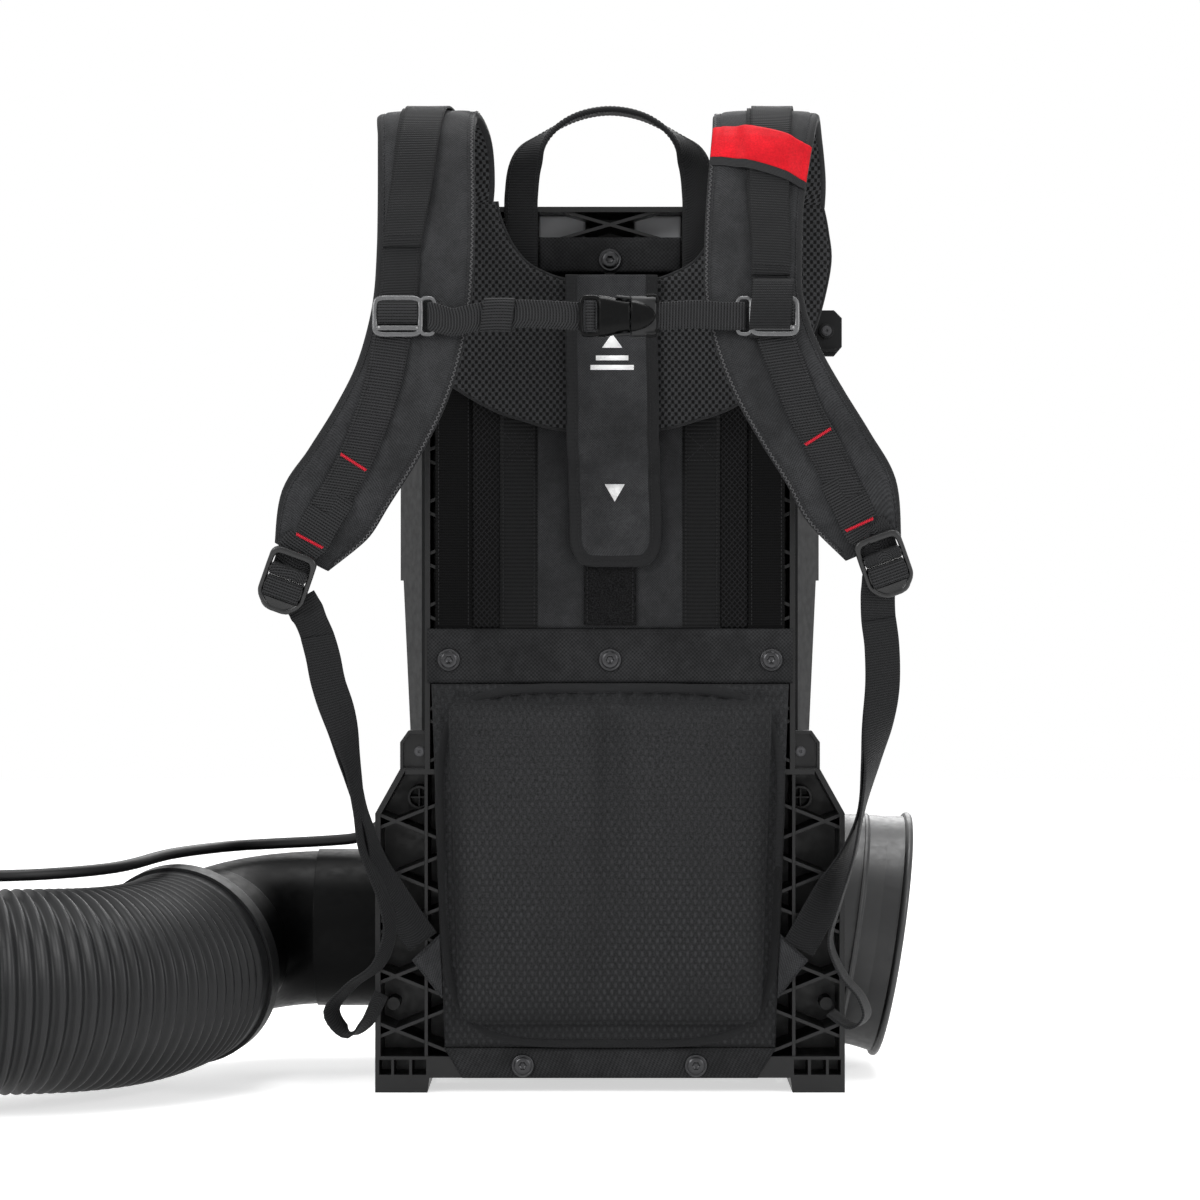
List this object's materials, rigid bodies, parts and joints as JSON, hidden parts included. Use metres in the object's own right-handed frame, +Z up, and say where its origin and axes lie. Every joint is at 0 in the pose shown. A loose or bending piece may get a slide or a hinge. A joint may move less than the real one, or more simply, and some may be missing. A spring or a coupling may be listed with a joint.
{
  "type": "backpack leaf blower",
  "caption": "Battery backpack leaf blower: rib-stiffened frame with padded harness, axial fan with side inlet bell, outlet elbow, bellows hose, control handle and blower nozzle.",
  "frame": {"origin": "on the floor, under the middle of the two feet's footprint, which is also the middle of the frame's width", "axes": "+X to the inlet bell, away from the air tube; +Y to the back of the machine, away from the wearer; +Z up"},
  "size_m": [1.4348, 0.4265, 0.7322],
  "materials": {
    "frame_plastic": "satin moulded",
    "housing_plastic": "fine matte texture",
    "circuit_board": "green solder mask",
    "terminal": "plated",
    "pack_plastic": "fine matte texture",
    "red_plastic": "satin",
    "duct_plastic": "satin",
    "bell_plastic": "satin with soft highlights",
    "fan_plastic": "satin",
    "steel": "ground",
    "copper": "enamelled wire",
    "motor_aluminium": "cast and machined",
    "tube_plastic": "satin",
    "collar_plastic": "satin",
    "hose_rubber": "soft sheen",
    "handle_plastic": "fine matte texture",
    "control_plastic": "satin",
    "tip_rubber": "matte",
    "cable_rubber": "soft sheen",
    "gland_rubber": "matte",
    "bright_screw": "zinc plated",
    "dark_screw": "dark coated",
    "open_mesh": "open net over cloth",
    "hook_fabric": "hook strip",
    "webbing": "ribbed woven nylon",
    "knit_pad": "dimpled knit",
    "air_mesh": "spacer mesh",
    "flap_fabric": "woven nylon",
    "pad_fabric": "woven nylon",
    "buckle_plastic": "satin",
    "slider_plastic": "glossy edges"
  },
  "bodies": {
    "base": {"back_frame": "frame_plastic", "rear_housing": "housing_plastic", "rear_cover": "housing_plastic", "control_board": "circuit_board", "terminal_blocks": "terminal", "fan_duct": "duct_plastic", "outlet_cone": "duct_plastic", "inlet_bell": "bell_plastic", "inlet_grille": "duct_plastic", "motor_windings": "copper", "motor_can": "motor_aluminium", "motor_bearings": "steel", "stator_vanes": "fan_plastic", "outlet_elbow": "tube_plastic", "hose_collar": "collar_plastic", "bellows_hose": "hose_rubber", "control_cable": "cable_rubber", "cable_gland": "gland_rubber", "frame_screws": "bright_screw", "harness_screws": "dark_screw", "back_mesh_panel": "open_mesh", "hook_strip": "hook_fabric", "top_band": "webbing", "middle_band": "webbing", "bottom_band": "webbing", "lumbar_pad": "knit_pad", "anchor_tabs": "webbing", "carry_handle": "webbing", "lower_webbing_left": "webbing", "lower_webbing_right": "webbing"},
    "fan": {"fan_impeller": "fan_plastic", "motor_shaft": "steel", "motor_rotor": "steel"},
    "harness": {"yoke_pad": "air_mesh", "adjust_flap": "flap_fabric", "shoulder_pad_left": "pad_fabric", "shoulder_pad_right": "pad_fabric", "shoulder_webbing_left": "webbing", "shoulder_webbing_right": "webbing", "ladder_locks": "buckle_plastic"},
    "sternum": {"strap_sliders": "slider_plastic", "sternum_strap_left": "webbing", "sternum_strap_right": "webbing", "buckle_socket": "buckle_plastic"},
    "buckle": {"buckle_plug": "buckle_plastic"},
    "pack_left": {"battery_left": "pack_plastic"},
    "pack_right": {"battery_right": "pack_plastic"},
    "release_left": {"battery_release_left": "red_plastic"},
    "release_right": {"battery_release_right": "red_plastic"},
    "wand": {"hose_cuff": "collar_plastic", "control_tube": "tube_plastic", "handle_clamp": "handle_plastic", "handle_shell_front": "handle_plastic", "handle_shell_back": "handle_plastic", "trigger_pin": "steel", "nozzle_tube": "tube_plastic", "nozzle_tip": "tip_rubber"},
    "trigger": {"throttle_trigger": "control_plastic"},
    "cruise": {"cruise_lever": "control_plastic"},
    "power": {"power_button": "red_plastic"}
  },
  "joints": [
    {"name": "fan_spin", "type": "hinge", "parent": "base", "child": "fan", "pos_m": [0, 0.03, 0.109], "axis": [1, 0, 0], "continuous": true},
    {"name": "harness_height", "type": "slide", "parent": "base", "child": "harness", "axis": [0, 0, 1], "range_m": [-0.04, 0.03], "deforming": ["lower_webbing_left", "lower_webbing_right"]},
    {"name": "sternum_height", "type": "slide", "parent": "harness", "child": "sternum", "axis": [0, 0.1504, 0.9886], "range_m": [-0.012, 0.012]},
    {"name": "buckle_release", "type": "slide", "parent": "sternum", "child": "buckle", "axis": [1, 0, 0], "range_m": [0, 0.022], "deforming": ["sternum_strap_right"]},
    {"name": "battery_left_slide", "type": "slide", "parent": "base", "child": "pack_left", "axis": [0, 0, 1], "range_m": [0, 0.115]},
    {"name": "battery_right_slide", "type": "slide", "parent": "base", "child": "pack_right", "axis": [0, 0, 1], "range_m": [0, 0.115]},
    {"name": "release_left_press", "type": "slide", "parent": "pack_left", "child": "release_left", "axis": [0, -1, 0], "range_m": [0, 0.0025], "stiffness_N_per_m": 400, "springref_m": -0.001},
    {"name": "release_right_press", "type": "slide", "parent": "pack_right", "child": "release_right", "axis": [0, -1, 0], "range_m": [0, 0.0025], "stiffness_N_per_m": 400, "springref_m": -0.001},
    {"name": "wand_lift", "type": "hinge", "parent": "base", "child": "wand", "pos_m": [-0.395, -0.185, 0.082], "axis": [0, 1, 0], "range_deg": [0, 35], "deforming": ["bellows_hose", "control_cable"]},
    {"name": "trigger_pull", "type": "hinge", "parent": "wand", "child": "trigger", "pos_m": [-0.65039, -0.225, 0.2334], "axis": [0, -1, 0], "range_deg": [0, 14], "stiffness_Nm_per_rad": 0.4, "springref_deg": -8.59},
    {"name": "cruise_turn", "type": "hinge", "parent": "wand", "child": "cruise", "pos_m": [-0.63752, -0.242, 0.25222], "axis": [0, -1, 0], "range_deg": [0, 60]},
    {"name": "power_press", "type": "slide", "parent": "wand", "child": "power", "axis": [0.061, 0, -0.9981], "range_m": [0, 0.0022], "stiffness_N_per_m": 300, "springref_m": -0.001}
  ]
}
